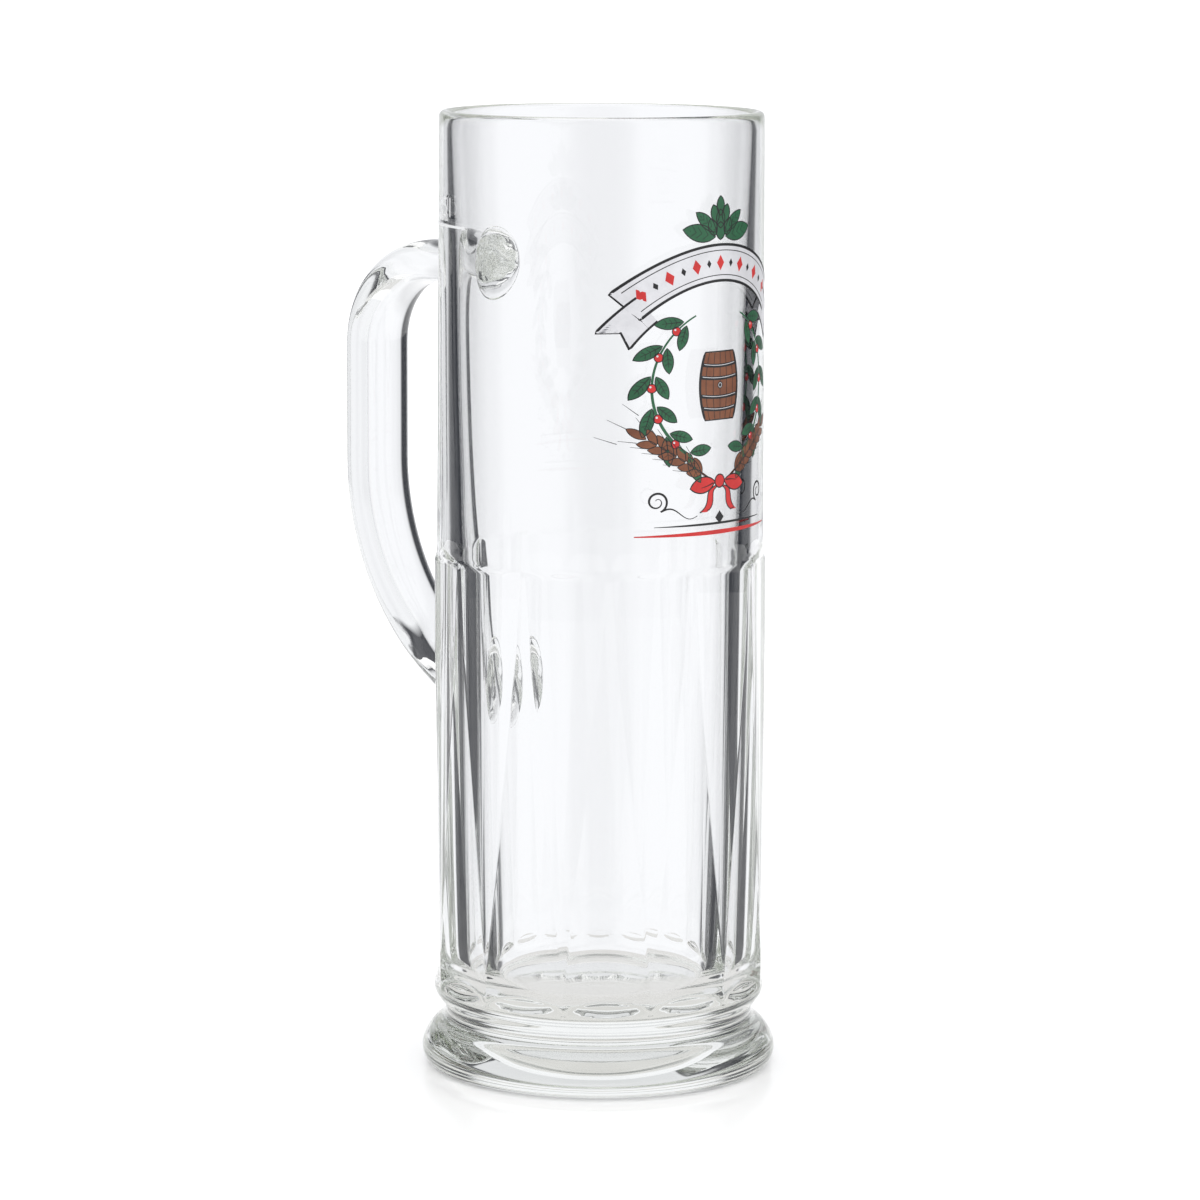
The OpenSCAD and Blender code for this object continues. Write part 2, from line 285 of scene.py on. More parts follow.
def handle(material):
    count = 56
    depth = 0.08                      # how far each end is sunk in the body
    # centreline in the plane of the handle, with the inward normal of the bar's section
    path = []
    top_c = (REACH - TOP_BEND, ARM_Z - TOP_BEND)
    low_c = (REACH - LOW_BEND, SWEEP_Z)
    y_in = 37.3
    for y in np.linspace(44.5, top_c[0], 5):
        path.append((y, ARM_Z, 1.0, 0.0))
    for a in np.linspace(90, 0, 25)[1:]:
        c, s = math.cos(math.radians(a)), math.sin(math.radians(a))
        path.append((top_c[0] + TOP_BEND * c, top_c[1] + TOP_BEND * s, s, -c))
    for z in np.linspace(top_c[1], SWEEP_Z, 9)[1:]:
        path.append((REACH, z, 0.0, -1.0))
    end = 54.0
    for a in np.linspace(0, end, 27)[1:]:
        c, s = math.cos(math.radians(a)), math.sin(math.radians(a))
        path.append((low_c[0] + LOW_BEND * c, low_c[1] - LOW_BEND * s, -s, -c))
    sec = bar_outline(BAR_T, BAR_W, count)
    rings = []
    for y, z, ty, tz in path:
        ny, nz = -tz, ty              # section's first axis: outward side of the bar
        rings.append(np.stack([sec[:, 1], y + sec[:, 0] * ny, z + sec[:, 0] * nz], 1))
    ang = np.arange(count) / count * 2 * math.pi

    def root(y, z, ty, tz, foot, swell, levels):
        """Rings from the bar down to the wall: the section opens into a rounded foot that lies on the wall."""
        out = []
        ny, nz = -tz, ty
        length = abs(y - y_in) / abs(ty)
        for u in levels:
            h = length * (1 - u)      # distance still to go along the bar
            grow = 1 - math.sqrt(max(1 - max(0.0, (u - swell) / (1 - swell)) ** 2, 0.0))
            lean = sstep(u, 0.0, 1.0)
            cx = sec[:, 1] * (1 - grow) + foot[1] * np.sin(ang) * grow
            cn = sec[:, 0] * (1 - grow) + (foot[0] * np.cos(ang) + foot[2]) * grow
            # plain position along the bar
            by = y + ty * (length - h) + cn * ny
            bz = z + tz * (length - h) + cn * nz
            # position on the wall, straight along the bar
            sy, sz = by.copy(), bz.copy()
            for _ in range(4):
                yy = wall_y(cx, sz)
                t = (yy - sy) / ty
                sy, sz = sy + ty * t, sz + tz * t
            py = by * (1 - lean) + (sy - ty * h) * lean
            pz = bz * (1 - lean) + (sz - tz * h) * lean
            out.append(np.stack([cx, py, pz], 1))
        return out

    levels = [0.12, 0.25, 0.38, 0.5, 0.6, 0.68, 0.75, 0.81, 0.86, 0.9, 0.93, 0.955, 0.975, 0.988, 0.996, 1.0]
    y, z, ty, tz = path[0]
    top = root(y, z, -ty, -tz, (8.3, 9.1, -0.8), 0.5, levels)
    y, z, ty, tz = path[-1]
    low = root(y, z, ty, tz, (8.6, 9.1, -2.2), 0.35, levels)
    # the section's first axis turns over with the direction at the top
    top = [np.stack([t[:, 0], t[:, 1], 2 * ARM_Z - t[:, 2]], 1) for t in top]
    rings = top[::-1] + rings + low

    def cap(ring):
        """The end itself, lying just under the wall's surface."""
        out = []
        c = ring.mean(0)
        for s in (1.0, 0.8, 0.55, 0.28):
            q = c + (ring - c) * s
            x, zz = q[:, 0], q[:, 2]
            yy = wall_y(x, zz)
            r = np.hypot(x, yy)
            out.append(np.stack([x * (r - depth) / r, yy * (r - depth) / r, zz], 1))
        x, zz = np.array([c[0]]), np.array([c[2]])
        return out, [float(c[0]), float(wall_y(x, zz)[0]) - depth, float(c[2])]

    cap_a, tip_a = cap(rings[0])
    cap_b, tip_b = cap(rings[-1])
    p = np.array(cap_a[::-1] + rings + cap_b)
    nor = grid_normals(p)
    body_rows = len(rings)
    na = len(cap_a)
    # the ends look straight along the wall's own normal
    for rr in list(range(na)) + list(range(na + body_rows, len(p))):
        q = p[rr].copy()
        q[:, 2] = 0
        nor[rr] = -q / np.linalg.norm(q, axis=1, keepdims=True)
    m = count
    verts = p.reshape(-1, 3).tolist()
    normals = nor.reshape(-1, 3)
    faces = grid_faces(len(p), m)
    a, b = len(verts), len(verts) + 1
    verts += [tip_a, tip_b]
    last = (len(p) - 1) * m
    for j in range(m):
        q = (j + 1) % m
        faces.append((a, q, j))
        faces.append((b, last + j, last + q))
    # which way the sides face decides the sign
    mid = p[len(p) // 2]
    sign = 1.0 if float(np.dot(nor[len(p) // 2][0], mid[0] - mid.mean(0))) > 0 else -1.0
    for rr in range(na, na + body_rows):
        nor[rr] *= sign
    normals = nor.reshape(-1, 3).tolist()
    ends = [-np.array([0, 1.0, 0]), -np.array([0, 1.0, 0])]
    normals += [e.tolist() for e in ends]
    if sign < 0:
        faces = [f[::-1] for f in faces]
    return mesh_object("mug_handle", verts, faces, material, normals)


# ---------------------------------------------------------------- enamel design
class Coat:
    """One colour of enamel: thin closed shells laid on the plain wall. The drawing is in millimetres about
    the point (turn, z) on the wall, x to the right as it is looked at, and is put straight back on the wall."""

    def __init__(self, turn, z):
        self.turn, self.z = math.radians(turn), z
        self.v, self.n, self.f = [], [], []

    def strip(self, left, right, lift=0, across=2):
        """A filled shape between two curves with the same number of points."""
        a, b = np.asarray(left, float), np.asarray(right, float)
        rows = len(a)
        u = np.linspace(0, 1, across + 1)[None, :, None]
        q = a[:, None, :] * (1 - u) + b[:, None, :] * u
        x, z = q[..., 0].ravel(), q[..., 1].ravel() + self.z
        r = upper_r(z)
        t = self.turn + np.arcsin(np.clip(x / r, -1, 1))
        cols = across + 1
        start = len(self.v)
        for d in (0.030 + 0.006 * lift, -0.016 - 0.004 * lift):
            self.v += np.stack([(r + d) * np.cos(t), (r + d) * np.sin(t), z], 1).tolist()
        m = rows * cols
        # the order of the corners decides which side is out
        e = q[1:, :-1] - q[:-1, :-1]
        w = q[:-1, 1:] - q[:-1, :-1]
        ccw = float(np.sum(w[..., 0] * e[..., 1] - w[..., 1] * e[..., 0])) > 0
        faces = []
        for i in range(rows - 1):
            for j in range(across):
                p = start + i * cols + j
                faces.append((p, p + 1, p + cols + 1, p + cols))
                p += m
                faces.append((p, p + cols, p + cols + 1, p + 1))
        edge = [i * cols for i in range(rows)]
        far = [i * cols + across for i in range(rows)]
        loop = list(range(0, cols)) + far[1:] + list(range((rows - 1) * cols + across - 1, (rows - 1) * cols - 1, -1)) \
            + edge[-2:0:-1]
        for k in range(len(loop)):
            p, s = start + loop[k], start + loop[(k + 1) % len(loop)]
            faces.append((p, p + m, s + m, s))
        self.f += faces if ccw else [g[::-1] for g in faces]

    def stroke(self, points, width, lift=0, closed=False):
        """A line of the given width (one number, or one for each point)."""
        p = np.asarray(points, float)
        if closed:
            p = np.concatenate([p, p[:1]])
            d = np.roll(p[:-1], -1, 0) - np.roll(p[:-1], 1, 0)
            d = np.concatenate([d, d[:1]])
        else:
            d = np.gradient(p, axis=0)
        n = np.stack([-d[:, 1], d[:, 0]], 1)
        n /= np.maximum(np.linalg.norm(n, axis=1, keepdims=True), 1e-9)
        w = np.broadcast_to(np.asarray(width, float), (len(p),))[:, None] / 2
        self.strip(p - n * w, p + n * w, lift, 1)

    def disc(self, x, y, r, lift=0, n=14):
        a = np.linspace(0, math.pi, n)
        c, s = x + r * np.cos(a), r * np.sin(a)
        self.strip(np.stack([c, y - s], 1), np.stack([c, y + s], 1), lift, 2)

    def build(self, name, material):
        return mesh_object(name, self.v, self.f, material, flat=True)


def turned(p, deg, x=0.0, y=0.0):
    c, s = math.cos(math.radians(deg)), math.sin(math.radians(deg))
    p = np.asarray(p, float)
    return np.stack([x + p[:, 0] * c - p[:, 1] * s, y + p[:, 0] * s + p[:, 1] * c], 1)


def leaf(length, width, n=13):
    """The two sides of a pointed leaf or grain that stands on the origin."""
    r = (length ** 2 + width ** 2) / (4 * width)
    y = np.linspace(0, length, n)
    h = np.sqrt(np.maximum(r * r - (y - length / 2) ** 2, 0)) - (r - width / 2)
    h = np.maximum(h, 0.02)
    return np.stack([-h, y], 1), np.stack([h, y], 1)


def arc(r, a0, a1, n, y=0.0):
    a = np.radians(np.linspace(a0, a1, n))
    return np.stack([r * np.sin(a), y + r * np.cos(a)], 1)


def design():
    """The fired design: a ribbon over a leaf wreath with a barrel, two ears and a bow."""
    k = {c: Coat(PRINT_TURN, WREATH_Z) for c in ("silver", "green", "red", "brown", "black")}

    def outlined(coat, sides, edge=0.2, across=2):
        k[coat].strip(sides[0], sides[1], 0, across)
        k["black"].stroke(np.concatenate([sides[0], sides[1][::-1][1:-1]]), edge, 2, closed=True)

    # ribbon, its folded tails and a row of lozenges along it
    oy, r0, r1, half = -5.0, 28.5, 36.5, 44.0
    k["silver"].strip(arc(r0, -half, half, 72, oy), arc(r1, -half, half, 72, oy), 1, 5)
    edge = np.concatenate([arc(r0, -half, half, 72, oy), arc(r1, half, -half, 72, oy)])
    k["black"].stroke(edge, 0.62, 3, closed=True)
    for r in (r0 + 1.25, r1 - 1.25):
        k["black"].stroke(arc(r, -half + 2.6, half - 2.6, 60, oy), 0.2, 2)
    for i in range(-6, 7):
        a = i * 6.2
        c = arc((r0 + r1) / 2, a, a, 1, oy)[0]
        w = 1.15 if i % 2 == 0 else 0.62
        q = turned([(0, -1.5 * w), (-w, 0), (0, 1.5 * w)], -a, *c)
        p = turned([(0, -1.5 * w), (w, 0), (0, 1.5 * w)], -a, *c)
        k["black" if i % 2 else "red"].strip(q, p, 3, 2)
    for s in (-1, 1):
        m, tip, notch = 29.3, 57.5, 53.0
        rim = [arc(25.9, s * 39, s * tip, 16, oy), arc(m, s * 39, s * notch, 16, oy), arc(32.7, s * 39, s * tip, 16, oy)]
        k["silver"].strip(rim[0], rim[1], 0, 2)
        k["silver"].strip(rim[1], rim[2], 0, 2)
        k["black"].stroke(np.concatenate([rim[0], rim[1][-1:], rim[2][::-1]]), 0.5, 2)
        k["black"].strip([(s * 19.75, 15.6), (s * 19.3, 14.9), (s * 18.2, 13.6)],
                         [(s * 19.75, 15.6), (s * 21.5, 16.9), (s * 22.9, 18.3)], 1, 2)

    # hop cone on top of the ribbon, between two leaves
    for s in (-1, 1):
        for deg, ln, wd, x, y in ((78, 9.2, 3.9, 1.6, 33.3), (52, 7.4, 2.8, 1.4, 34.4)):
            sides = [turned(p, -s * deg, s * x, y) for p in leaf(ln, wd)]
            outlined("green", sides, 0.22)
            k["black"].stroke(turned([(0, 0.5), (0, ln * 0.8)], -s * deg, s * x, y), 0.16, 3)
            for v in (0.25, 0.45, 0.62):
                for q in (-1, 1):
                    k["black"].stroke(turned([(0, ln * v), (q * wd * 0.3, ln * (v + 0.14))], -s * deg, s * x, y), 0.11, 3)
    for x, y, deg, ln, wd in ((0, 38.0, 0, 4.4, 2.4), (-1.25, 36.4, 14, 4.2, 2.5), (1.25, 36.4, -14, 4.2, 2.5),
                              (0, 35.2, 0, 4.2, 2.7), (-1.7, 33.6, 22, 4.0, 2.6), (1.7, 33.6, -22, 4.0, 2.6),
                              (0, 32.6, 0, 4.0, 2.9)):
        outlined("green", [turned(p, deg, x, y) for p in leaf(ln, wd)], 0.26)

    # leaf wreath: two stems, leaves in pairs, berries between them
    wr = 17.5
    for s in (-1, 1):
        k["green"].stroke(arc(wr, s * 24, s * 152, 60), np.linspace(0.35, 0.8, 60), 0)
        for i in range(6):
            a = s * (32 + i * 23)
            for deg, ln, wd in ((62, 6.8, 2.7), (130, 5.8, 2.5)):
                sides = []
                for p in leaf(ln, wd):
                    q = turned(p, s * deg, 0, 0)
                    q = q + np.array([[-s * math.sin(math.radians(deg)) * 1.0, math.cos(math.radians(deg)) * 1.0]])
                    sides.append(turned(q + np.array([[0, wr]]), a))
                outlined("green", sides, 0.2)
                mid = (sides[0] + sides[1]) / 2
                k["black"].stroke(mid[1:10], np.linspace(0.2, 0.09, 9), 3)
                for v in (3, 5, 7):
                    for side in sides:
                        k["black"].stroke([mid[v], mid[v + 1] + (side[v + 1] - mid[v + 1]) * 0.68], 0.1, 3)
        for i in range(5):
            x, y = turned([(0, wr)], s * (43.5 + i * 23))[0]
            k["red"].disc(x, y, 0.98, 1)
            k["black"].stroke([(x + 1.0 * math.cos(t), y + 1.0 * math.sin(t)) for t in np.arange(16) / 16 * 2 * math.pi],
                              0.2, 2, closed=True)
            k["silver"].disc(x - 0.3, y + 0.34, 0.24, 3, 7)

    # barrel with its hoops, staves and bung
    y = np.linspace(-7.5, 7.5, 25)
    h = np.sqrt(400 - y * y) - 14
    k["brown"].strip(np.stack([-h, y], 1), np.stack([h, y], 1), 0, 8)
    k["black"].stroke(np.concatenate([np.stack([-h, y], 1), np.stack([h, y], 1)[::-1]]), 0.6, 2, closed=True)
    for c in (-0.72, -0.36, 0.0, 0.36, 0.72):
        k["black"].stroke(np.stack([c * h, y], 1), 0.15, 2)
    for yy in (-4.9, -2.1, 2.1, 4.9):
        w = math.sqrt(400 - yy * yy) - 14
        x = np.linspace(-w, w, 13)
        bow = -0.45 * (1 - (x / w) ** 2)
        k["black"].strip(np.stack([x, yy + bow - 0.42], 1), np.stack([x, yy + bow + 0.42], 1), 3, 1)
        k["silver"].stroke(np.stack([x * 0.9, yy + bow * 0.97 + 0.08], 1), 0.13, 5)
    k["black"].disc(0, 0.1, 0.78, 3)
    k["silver"].stroke([(0.5 * math.cos(t), 0.1 + 0.5 * math.sin(t)) for t in np.arange(14) / 14 * 2 * math.pi], 0.12, 5,
                       closed=True)

    # two ears of barley, crossed and tied with a bow
    for s in (-1, 1):
        def put(p):
            return turned(p, -s * 58, s * 2, -21.5)
        k["brown"].stroke(put([(0, -1.0), (0, 5.0)]), 0.55, 0)
        for i in range(6):
            for q in (-1, 1):
                sides = [put(turned(p, q * 28, 0, 4 + i * 2.6)) for p in leaf(4.2, 1.8, 11)]
                outlined("brown", sides, 0.17)
                tip = turned([(0, 4.1), (0, 7.6)], q * 24, 0, 4 + i * 2.6)
                k["black"].stroke(put(tip), [0.16, 0.08], 1)
        outlined("brown", [put(p + np.array([[0, 19.6]])) for p in leaf(4.6, 1.8, 11)], 0.17)
        for a in (-9, 0, 9):
            k["black"].stroke(put(turned([(0, 24.0), (0, 28.0)], a, 0, 0)), [0.16, 0.08], 1)
        # loops and tails of the bow
        sides = [turned(p, -s * 100, s * 1.5, -21.5) for p in leaf(7.2, 3.6)]
        outlined("red", sides, 0.28)
        k["black"].stroke((sides[0] * 0.65 + sides[1] * 0.35)[1:8], np.linspace(0.3, 0.1, 7), 3)
        t = np.linspace(0, 1, 12)
        cx = s * (0.5 + 4.6 * t + 0.7 * np.sin(t * 6))
        cy = -22.4 - 5.4 * t + 0.5 * np.sin(t * 5)
        w = 0.55 + 0.5 * t
        sides = [np.stack([cx - w, cy], 1), np.stack([cx + w, cy], 1)]
        outlined("red", sides, 0.24)
    k["red"].disc(0, -21.5, 1.5, 2)
    k["black"].stroke([(1.5 * math.cos(t), -21.5 + 1.5 * math.sin(t)) for t in np.arange(20) / 20 * 2 * math.pi], 0.28, 3,
                      closed=True)

    # fine flourishes on both sides of the bow's tails, then the rules
    for s in (-1, 1):
        t = np.linspace(0, 1, 56)
        a = np.radians(250 - 560 * (1 - t))
        r = 0.35 + 2.05 * (1 - np.abs(1 - t)) ** 0.8
        curl = np.stack([16.4 + r * np.cos(a), -25.3 + r * np.sin(a)], 1)
        u = np.linspace(0, 1, 30)[1:]
        x1, y1 = curl[-1]
        line = np.stack([x1 + (6.6 - x1) * u, y1 + (-28.9 - y1) * u + 0.9 * np.sin(u * 2 * math.pi)], 1)
        p = np.concatenate([curl, line])
        w = 0.16 + 0.34 * np.sin(np.linspace(0, math.pi, len(p))) ** 2
        k["black"].stroke(p * np.array([[s, 1]]), w, 1)
    x = np.linspace(-17, 17, 40)
    w = 0.12 + 0.42 * np.clip(1 - (np.abs(x) / 17) ** 2, 0, 1)
    k["black"].stroke(np.stack([x, np.full(40, -31.0)], 1), w, 1)
    k["black"].strip([(0, -31.2), (-1.35, -29.7), (0, -28.2)], [(0, -31.2), (1.35, -29.7), (0, -28.2)], 2, 2)
    x = np.linspace(-21, 21, 48)
    w = 0.25 + 0.75 * np.clip(1 - (np.abs(x) / 21) ** 1.6, 0, 1)
    k["red"].stroke(np.stack([x, np.full(48, -33.0)], 1), w, 1)
    return k


def fill_marks():
    line = Coat(LINE_TURN, LINE_Z)
    x = np.linspace(-11, 11, 24)
    line.strip(np.stack([x, np.full(24, -0.3)], 1), np.stack([x, np.full(24, 0.3)], 1), 0, 1)
    mark = Coat(LINE_TURN, LINE_Z + 4.2)
    a = np.arange(28) / 28 * 2 * math.pi
    mark.stroke(np.stack([-3.6 + 1.05 * np.cos(a), 1.95 * np.sin(a)], 1), 0.5, 0, closed=True)
    mark.disc(-1.5, -1.9, 0.35)
    mark.strip([(-0.7, 1.7), (1.7, 1.7)], [(-0.7, 2.2), (1.7, 2.2)], 0, 1)
    mark.strip([(-0.7, 0.1), (-0.7, 1.7)], [(-0.2, 0.1), (-0.2, 1.7)], 0, 1)
    b = np.radians(np.linspace(128, -140, 24))
    mark.stroke(np.stack([0.5 + 1.25 * np.cos(b), -0.7 + 1.25 * np.sin(b)], 1), 0.5, 1)
    mark.strip([(3.65, -2.2), (3.65, 2.2)], [(4.15, -2.2), (4.15, 2.2)], 0, 1)
    return line, mark


# ---------------------------------------------------------------- materials
def new_material(name):
    m = bpy.data.materials.new(name)
    m.use_nodes = True
    t = m.node_tree
    t.nodes.clear()
    out = t.nodes.new("ShaderNodeOutputMaterial")
    return m, t, out


def noise(t, scale, detail=3.0, rough=0.5, stretch=None):
    co = t.nodes.new("ShaderNodeTexCoord")
    n = t.nodes.new("ShaderNodeTexNoise")
    n.inputs["Scale"].default_value = scale
    n.inputs["Detail"].default_value = detail
    n.inputs["Roughness"].default_value = rough
    if stretch is None:
        t.links.new(co.outputs["Object"], n.inputs["Vector"])
    else:
        mp = t.nodes.new("ShaderNodeMapping")
        mp.inputs["Scale"].default_value = stretch
        t.links.new(co.outputs["Object"], mp.inputs["Vector"])
        t.links.new(mp.outputs["Vector"], n.inputs["Vector"])
    return n


def remap(t, source, a, b, c, d):
    r = t.nodes.new("ShaderNodeMapRange")
    for name, v in (("From Min", a), ("From Max", b), ("To Min", c), ("To Max", d)):
        r.inputs[name].default_value = v
    t.links.new(source, r.inputs["Value"])
    return r.outputs["Result"]


def glass_material(name, joint=False):
    """Clear pressed glass: faintly wavy, faintly grey-green where it is thick."""
    m, t, out = new_material(name)
    b = t.nodes.new("ShaderNodeBsdfPrincipled")
    b.inputs["Base Color"].default_value = (1, 1, 1, 1)
    b.inputs["Roughness"].default_value = 0.0
    b.inputs["IOR"].default_value = 1.515
    b.inputs["Transmission Weight"].default_value = 1.0
    wave = noise(t, 55.0, 2.0, 0.4, (1.0, 1.0, 0.22))
    bump = t.nodes.new("ShaderNodeBump")
    bump.inputs["Strength"].default_value = 1.0
    bump.inputs["Distance"].default_value = 0.000012
    t.links.new(wave.outputs["Fac"], bump.inputs["Height"])
    if joint:
        # uneven glass where the ends of the bar were pressed on to the wall
        co = t.nodes.new("ShaderNodeTexCoord")
        xyz = t.nodes.new("ShaderNodeSeparateXYZ")
        t.links.new(co.outputs["Object"], xyz.inputs["Vector"])
        mottle = noise(t, 240.0, 1.0, 0.5)
        low = t.nodes.new("ShaderNodeBump")
        low.inputs["Distance"].default_value = 0.0009
        t.links.new(remap(t, xyz.outputs["Y"], 0.0371, 0.0374, 1.0, 0.0), low.inputs["Strength"])
        t.links.new(mottle.outputs["Fac"], low.inputs["Height"])
        # drawn-out folds on the under side, where the lower end of the bar runs in to the wall
        turn = t.nodes.new("ShaderNodeMapping")
        turn.vector_type = "TEXTURE"
        turn.inputs["Rotation"].default_value = (math.radians(-54), 0, 0)
        t.links.new(co.outputs["Object"], turn.inputs["Vector"])
        part = t.nodes.new("ShaderNodeSeparateXYZ")
        t.links.new(turn.outputs["Vector"], part.inputs["Vector"])
        squeeze = t.nodes.new("ShaderNodeMapping")
        squeeze.inputs["Scale"].default_value = (1, 1, 0.22)
        t.links.new(turn.outputs["Vector"], squeeze.inputs["Vector"])
        folds = t.nodes.new("ShaderNodeTexNoise")
        folds.inputs["Scale"].default_value = 200.0
        folds.inputs["Detail"].default_value = 1.0
        t.links.new(squeeze.outputs["Vector"], folds.inputs["Vector"])
        near = t.nodes.new("ShaderNodeMath")
        near.operation = "MULTIPLY"
        t.links.new(remap(t, xyz.outputs["Y"], 0.0555, 0.0595, 1.0, 0.0), near.inputs[0])
        t.links.new(remap(t, part.outputs["Y"], -0.0465, -0.0415, 0.0, 1.0), near.inputs[1])
        fold = t.nodes.new("ShaderNodeBump")
        fold.inputs["Distance"].default_value = 0.0007
        t.links.new(near.outputs["Value"], fold.inputs["Strength"])
        t.links.new(folds.outputs["Fac"], fold.inputs["Height"])
        t.links.new(low.outputs["Normal"], fold.inputs["Normal"])
        t.links.new(fold.outputs["Normal"], bump.inputs["Normal"])
    t.links.new(bump.outputs["Normal"], b.inputs["Normal"])
    v = t.nodes.new("ShaderNodeVolumeAbsorption")
    v.inputs["Color"].default_value = (0.90, 0.925, 0.865, 1)
    v.inputs["Density"].default_value = 5.0
    t.links.new(b.outputs["BSDF"], out.inputs["Surface"])
    t.links.new(v.outputs["Volume"], out.inputs["Volume"])
    return m


def enamel(name, light, dark, metallic=0.0, rough=(0.32, 0.5)):
    """Fired enamel: a thin, slightly uneven coat with fine grain."""
    m, t, out = new_material(name)
    b = t.nodes.new("ShaderNodeBsdfPrincipled")
    cloud = noise(t, 260.0, 5.0, 0.6)
    ramp = t.nodes.new("ShaderNodeValToRGB")
    ramp.color_ramp.elements[0].position = 0.3
    ramp.color_ramp.elements[0].color = (*dark, 1)
    ramp.color_ramp.elements[1].position = 0.7
    ramp.color_ramp.elements[1].color = (*light, 1)
    t.links.new(cloud.outputs["Fac"], ramp.inputs["Fac"])
    t.links.new(ramp.outputs["Color"], b.inputs["Base Color"])
    grain = noise(t, 2600.0, 2.0, 0.5)
    t.links.new(remap(t, grain.outputs["Fac"], 0.25, 0.75, rough[0], rough[1]), b.inputs["Roughness"])
    b.inputs["Metallic"].default_value = metallic
    bump = t.nodes.new("ShaderNodeBump")
    bump.inputs["Strength"].default_value = 0.35
    bump.inputs["Distance"].default_value = 0.00002
    t.links.new(grain.outputs["Fac"], bump.inputs["Height"])
    t.links.new(bump.outputs["Normal"], b.inputs["Normal"])
    t.links.new(b.outputs["BSDF"], out.inputs["Surface"])
    return m


def floor_material():
    m, t, out = new_material("floor_white")
    b = t.nodes.new("ShaderNodeBsdfPrincipled")
    b.inputs["Base Color"].default_value = (0.94, 0.94, 0.94, 1)
    b.inputs["Roughness"].default_value = 0.22
    b.inputs["Specular IOR Level"].default_value = 0.35
    b.inputs["Emission Color"].default_value = (1, 1, 1, 1)
    b.inputs["Emission Strength"].default_value = 0.2
    t.links.new(b.outputs["BSDF"], out.inputs["Surface"])
    return m


# ---------------------------------------------------------------- camera
CAM_AZ = -48.5
CAM_D, CAM_H, CAM_PITCH, CAM_ROLL = 1.0845, 0.2727, 8.62, 0.23
FOCAL_PX = 4749.0
az = math.radians(CAM_AZ)
cam_data = bpy.data.cameras.new("camera")
cam_data.sensor_width = 36.0
cam_data.lens = 36.0 * FOCAL_PX / 1200.0
cam = bpy.data.objects.new("camera", cam_data)
bpy.context.scene.collection.objects.link(cam)
cam.location = (math.sin(az) * CAM_D, -math.cos(az) * CAM_D, CAM_H)
pitch = math.radians(CAM_PITCH)
look = Vector((-math.sin(az) * math.cos(pitch), math.cos(az) * math.cos(pitch), -math.sin(pitch)))
cam.rotation_mode = "QUATERNION"
cam.rotation_quaternion = look.to_track_quat("-Z", "Y") @ Matrix.Rotation(math.radians(CAM_ROLL), 4, "Z").to_quaternion()
bpy.context.scene.camera = cam
bpy.context.view_layer.update()

# ---------------------------------------------------------------- studio
floor = mesh_object("floor", [(-4000, -4000, -0.2), (4000, -4000, -0.2), (4000, 4000, -0.2), (-4000, 4000, -0.2)],
                    [(0, 1, 2, 3)], floor_material())
floor.visible_transmission = False


# brightness of the ring of cards against the angle from straight behind the mug, as the camera sees it
GLOW = [(0, 1.0), (22, 1.0), (29, 0.9), (31, 0.75), (34, 0.12), (37, 0.035), (76, 0.03), (82, 0.2), (87, 0.8), (92, 0.95),
        (150, 0.95), (160, 0.5), (170, 0.3), (180, 0.3)]
# the same for the upper part of the cards, and for their tops
GLOW_UP = [(0, 0.8), (22, 0.8), (29, 0.72), (31, 0.6), (34, 0.12), (37, 0.035), (58, 0.03), (64, 0.3), (70, 0.85), (76, 0.95),
           (150, 0.95), (160, 0.5), (170, 0.3), (180, 0.3)]
GLOW_TOP = [(0, 0.8), (22, 0.8), (30, 0.6), (36, 0.06), (115, 0.04), (135, 0.5), (150, 0.8), (165, 0.4), (180, 0.3)]


def card_ring(radius, z0, z1, n=360):
    """A ring of upright cards round the mug. It stays behind the mug as the camera goes round."""
    v, c = [], []
    for i in range(n):
        deg = i * 360.0 / n
        a = math.radians(41.5 - deg)
        for z, glow in ((z0, GLOW), (200, GLOW), (300, GLOW_UP), (1250, GLOW_UP), (1450, GLOW_TOP), (z1, GLOW_TOP)):
            g = float(np.interp(min(deg, 360 - deg), [k[0] for k in glow], [k[1] for k in glow]))
            v.append((radius * math.cos(a), radius * math.sin(a), z))
            c += [g * 0.972 - 0.003, g * 0.98 - 0.001, g + 0.006, 1.0]
    f = [(6 * i + q, 6 * ((i + 1) % n) + q, 6 * ((i + 1) % n) + q + 1, 6 * i + q + 1) for i in range(n) for q in range(5)]
    m, t, out = new_material("card_glow")
    e = t.nodes.new("ShaderNodeEmission")
    e.inputs["Strength"].default_value = 1.0
    at = t.nodes.new("ShaderNodeAttribute")
    at.attribute_name = "glow"
    t.links.new(at.outputs["Color"], e.inputs["Color"])
    t.links.new(e.outputs["Emission"], out.inputs["Surface"])
    m.cycles.emission_sampling = "NONE"
    ob = mesh_object("card_ring", v, f, m)
    at = ob.data.attributes.new("glow", "FLOAT_COLOR", "POINT")
    at.data.foreach_set("color", c)
    for k in ("visible_camera", "visible_diffuse", "visible_shadow", "visible_volume_scatter"):
        setattr(ob, k, False)
    ob.parent = cam
    ob.matrix_parent_inverse = cam.matrix_world.inverted()
    return ob


card_ring(900, -900, 2600)


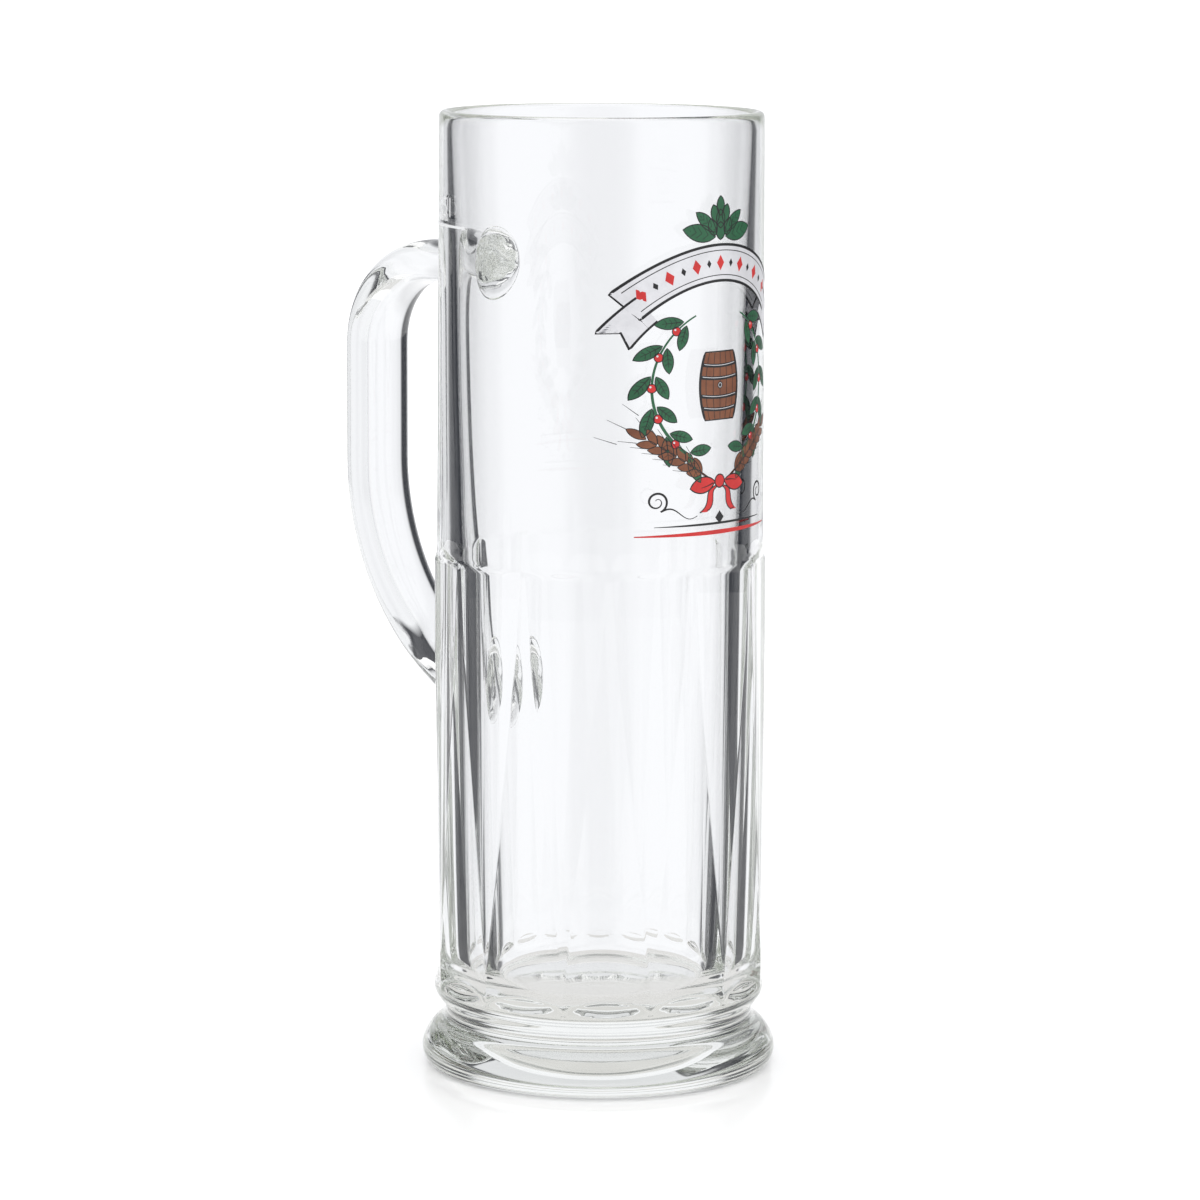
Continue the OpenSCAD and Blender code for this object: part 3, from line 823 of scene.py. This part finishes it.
def table_disc():
    """Painted shade: the table right under the foot, as the glass above it shows it; a glowing grey disc whose colour
    is the white table's shade under the mug.
    """
    m, t, out = new_material("table_glow")
    e = t.nodes.new("ShaderNodeEmission")
    # painted shade: this grey glow colour stands for the white table shaded by the mug above it
    e.inputs["Color"].default_value = (0.745, 0.74, 0.73, 1)
    e.inputs["Strength"].default_value = 1.0
    t.links.new(e.outputs["Emission"], out.inputs["Surface"])
    m.cycles.emission_sampling = "NONE"
    a = np.arange(64) / 64 * 2 * math.pi
    ob = mesh_object("table_disc", [(60 * math.cos(q), 60 * math.sin(q), -0.15) for q in a], [tuple(range(64))], m)
    for k in ("visible_camera", "visible_diffuse", "visible_glossy", "visible_shadow", "visible_volume_scatter"):
        setattr(ob, k, False)


table_disc()

world = bpy.data.worlds.new("studio")
bpy.context.scene.world = world
world.use_nodes = True
world.node_tree.nodes["Background"].inputs["Color"].default_value = (1, 1, 1, 1)
world.node_tree.nodes["Background"].inputs["Strength"].default_value = 1.12

scene = bpy.context.scene
scene.view_settings.view_transform = "Standard"
scene.cycles.max_bounces = 110
scene.cycles.transmission_bounces = 100
scene.cycles.glossy_bounces = 64
scene.cycles.diffuse_bounces = 4
scene.cycles.transparent_max_bounces = 16
scene.cycles.use_denoising = True
scene.cycles.sample_clamp_indirect = 4.0

# ---------------------------------------------------------------- pieces
body = glass_body(glass_material("clear_pressed_glass"))
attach(body, "root")
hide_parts("glass_body")
grip = handle(glass_material("clear_fused_glass", True))
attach(grip, "root")
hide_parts("handle")

ENAMELS = {
    "silver": enamel("enamel_silver", (0.80, 0.80, 0.83), (0.70, 0.70, 0.73), 0.25, (0.34, 0.5)),
    "green": enamel("enamel_green", (0.020, 0.130, 0.055), (0.012, 0.088, 0.036)),
    "red": enamel("enamel_red", (0.66, 0.028, 0.026), (0.52, 0.018, 0.018)),
    "brown": enamel("enamel_brown", (0.235, 0.082, 0.034), (0.155, 0.050, 0.022)),
    "black": enamel("enamel_black", (0.012, 0.012, 0.014), (0.006, 0.006, 0.007)),
}
for colour, coat in design().items():
    ob = coat.build("print_" + colour + "_enamel", ENAMELS[colour])
    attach(ob, "root")
    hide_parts("print_" + colour)
WHITE_ENAMEL = enamel("enamel_white", (0.86, 0.87, 0.88), (0.78, 0.79, 0.80))
for part, coat in zip(("fill_line", "capacity_mark"), fill_marks()):
    ob = coat.build(part + "_enamel", WHITE_ENAMEL)
    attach(ob, "root")
    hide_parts(part)
